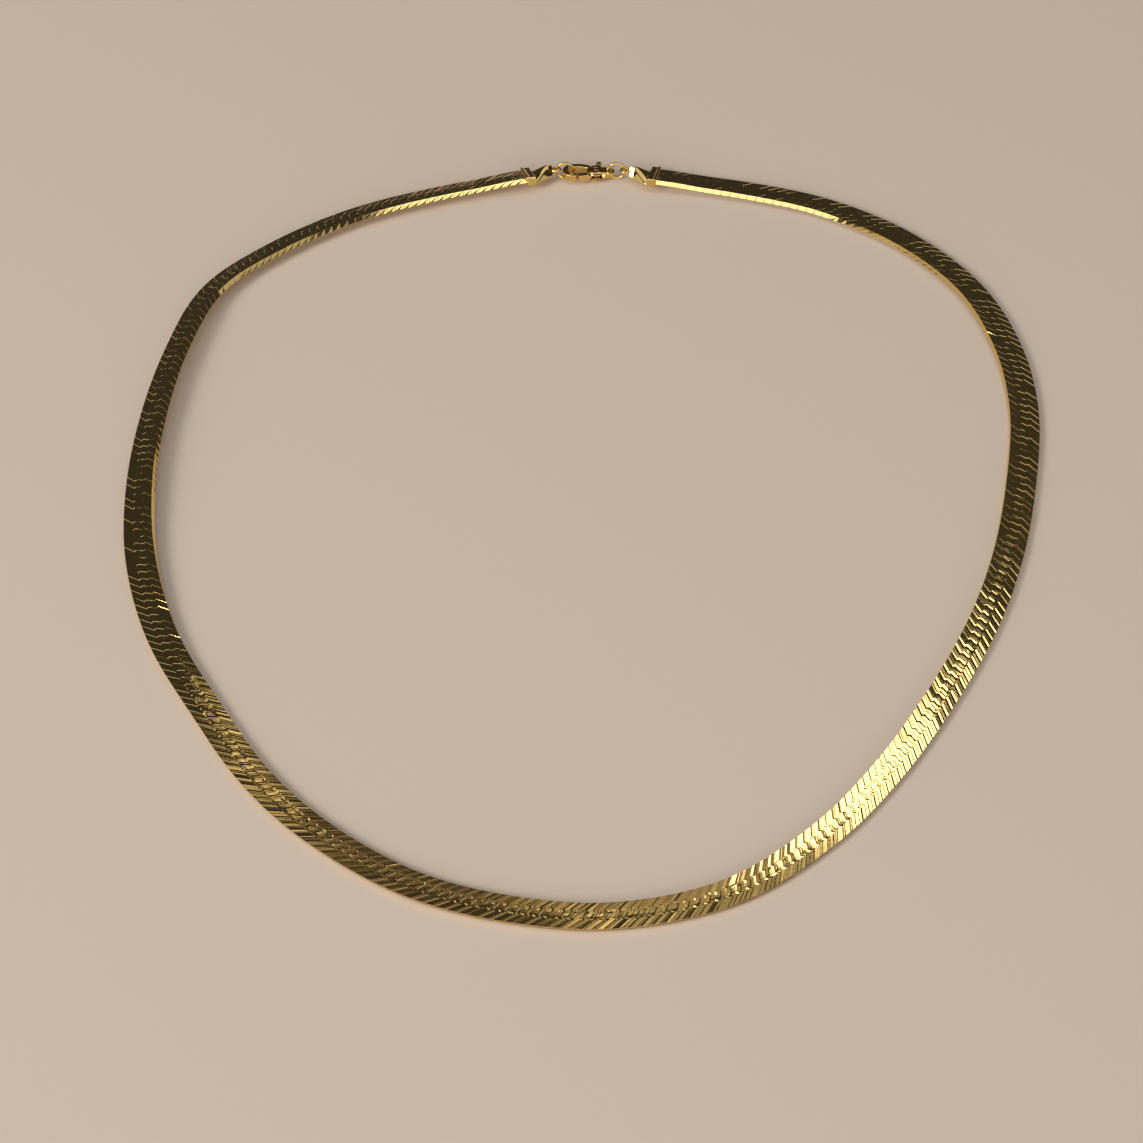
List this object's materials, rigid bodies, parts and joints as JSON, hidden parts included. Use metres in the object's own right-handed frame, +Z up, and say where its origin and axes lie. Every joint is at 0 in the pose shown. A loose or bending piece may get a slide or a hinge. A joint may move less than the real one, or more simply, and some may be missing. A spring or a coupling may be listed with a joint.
{
  "type": "herringbone chain necklace",
  "caption": "Flat gold herringbone neck chain, closed with a sprung lobster clasp and laid out on a surface.",
  "frame": {"origin": "on the surface that the chain lies on, under the middle of its box", "axes": "+Z up from the surface, +Y from the chain's front towards its clasp, +X to the right as seen from the front"},
  "size_m": [0.1332, 0.1584, 0.0032],
  "materials": {
    "chain_gold": "polished",
    "finding_gold": "polished",
    "pin_gold": "polished"
  },
  "bodies": {
    "chain": {"herringbone_band": "chain_gold", "end_cap_left": "finding_gold", "end_cap_right": "finding_gold", "jump_ring": "finding_gold", "clasp_ring": "finding_gold", "clasp_body": "finding_gold", "lever_pin": "pin_gold"},
    "lever": {"clasp_lever": "finding_gold"}
  },
  "joints": [
    {"name": "lever_hinge", "type": "hinge", "parent": "chain", "child": "lever", "pos_m": [0.00146, 0.07693, 0.00117], "axis": [0, 0, 1], "range_deg": [-26, 0], "stiffness_Nm_per_rad": 0.002, "springref_deg": 11.46}
  ]
}
